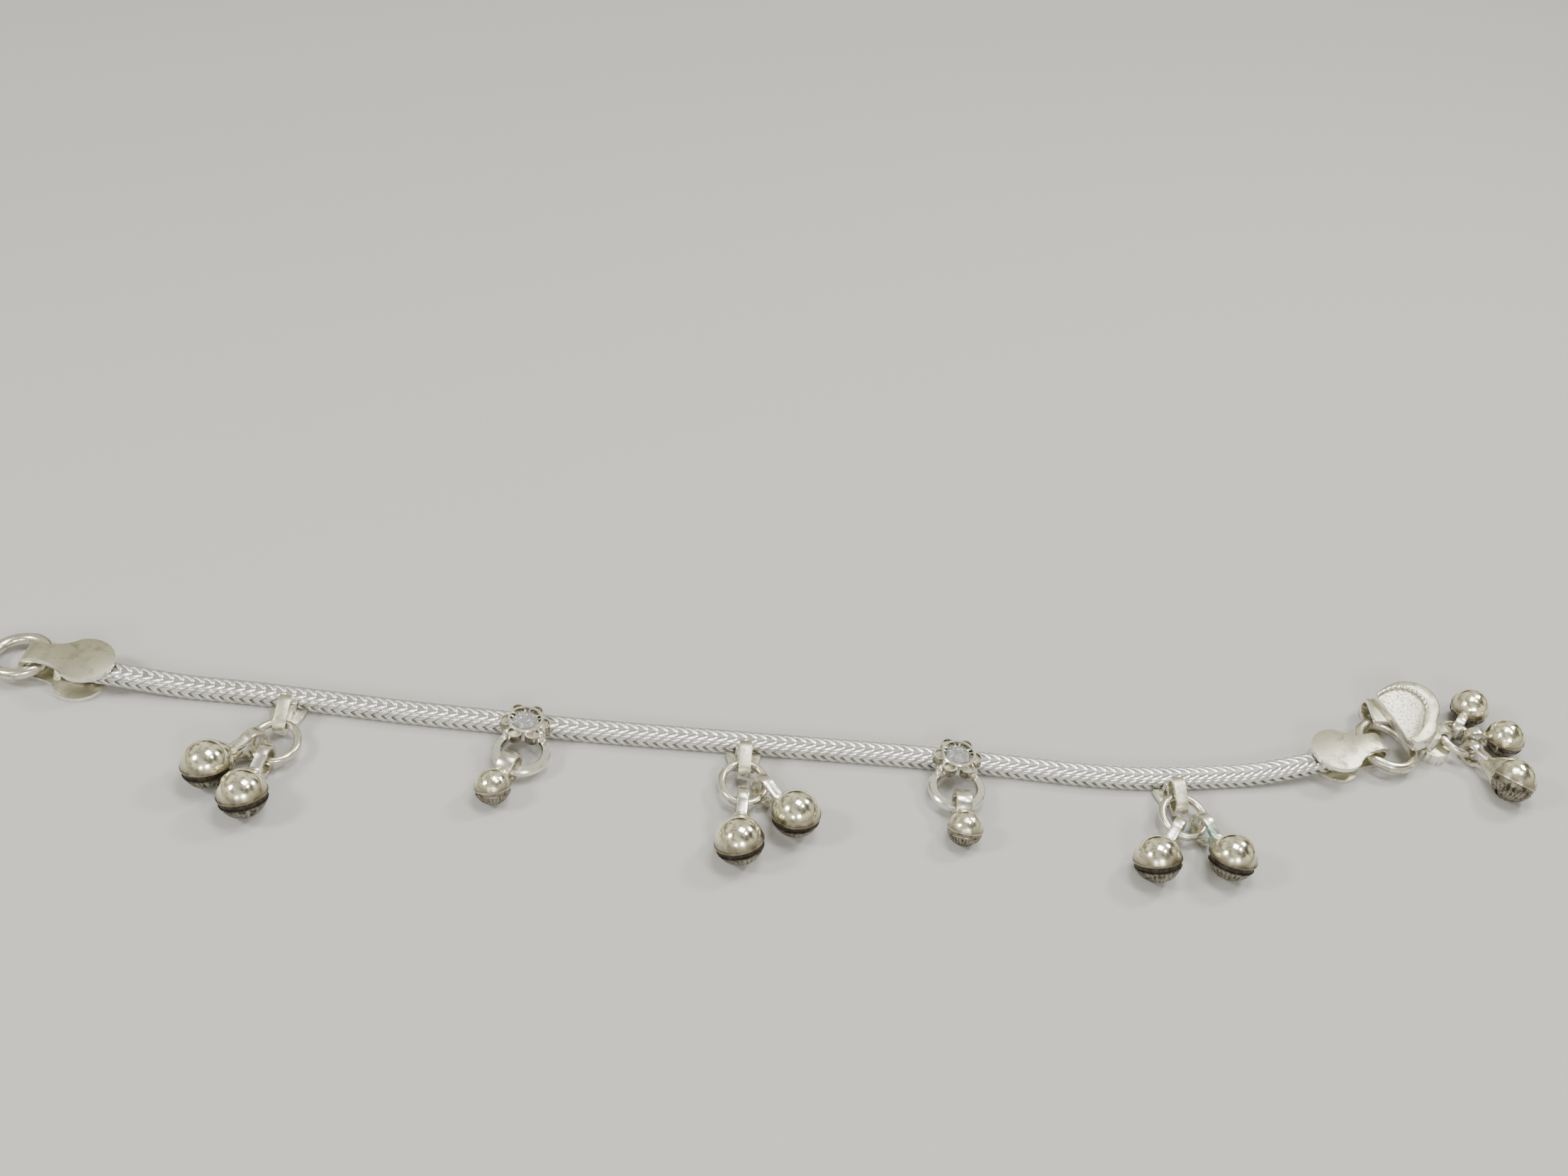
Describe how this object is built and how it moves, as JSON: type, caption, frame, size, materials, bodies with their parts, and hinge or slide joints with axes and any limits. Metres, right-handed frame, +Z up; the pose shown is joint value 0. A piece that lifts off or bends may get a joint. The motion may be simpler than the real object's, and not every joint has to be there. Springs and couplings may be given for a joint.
{
  "type": "anklet",
  "caption": "Woven silver anklet lying open, with bell drops, flower links set with clear stones, folded end caps with rings, and a leaf clasp carrying a tassel of bells.",
  "frame": {"origin": "on the floor under the middle of the bounding box, as the anklet lies", "axes": "+X along the chain towards the leaf clasp, +Y away from the bell drops, +Z up from the surface it lies on"},
  "size_m": [0.2652, 0.0486, 0.008],
  "materials": {
    "chain_silver": "woven silver wire with greyish wire gaps",
    "polished_silver": "polished silver with a warm cast and dark recesses",
    "frosted_silver": "frosted cast silver with bright edges",
    "wire_silver": "drawn silver wire, lightly worn",
    "clear_stone": "clear cut stone"
  },
  "bodies": {
    "root": {"foxtail_chain": "chain_silver", "left_cap": "frosted_silver", "right_cap": "frosted_silver", "left_ring": "wire_silver", "right_ring": "wire_silver", "leaf_clasp": "frosted_silver", "tassel_ring": "wire_silver", "tassel_bell_1": "polished_silver", "tassel_bell_2": "polished_silver", "tassel_bell_3": "polished_silver", "flower_link_1": "frosted_silver", "flower_link_2": "frosted_silver", "stone_1": "clear_stone", "stone_2": "clear_stone", "small_bell_1": "polished_silver", "small_bell_2": "polished_silver", "hanger_1": "frosted_silver", "drop_ring_1": "wire_silver", "bell_1a": "polished_silver", "bell_1b": "polished_silver", "hanger_3": "frosted_silver", "drop_ring_3": "wire_silver", "bell_3a": "polished_silver", "bell_3b": "polished_silver", "hanger_5": "frosted_silver", "drop_ring_5": "wire_silver", "bell_5a": "polished_silver", "bell_5b": "polished_silver"}
  },
  "joints": []
}
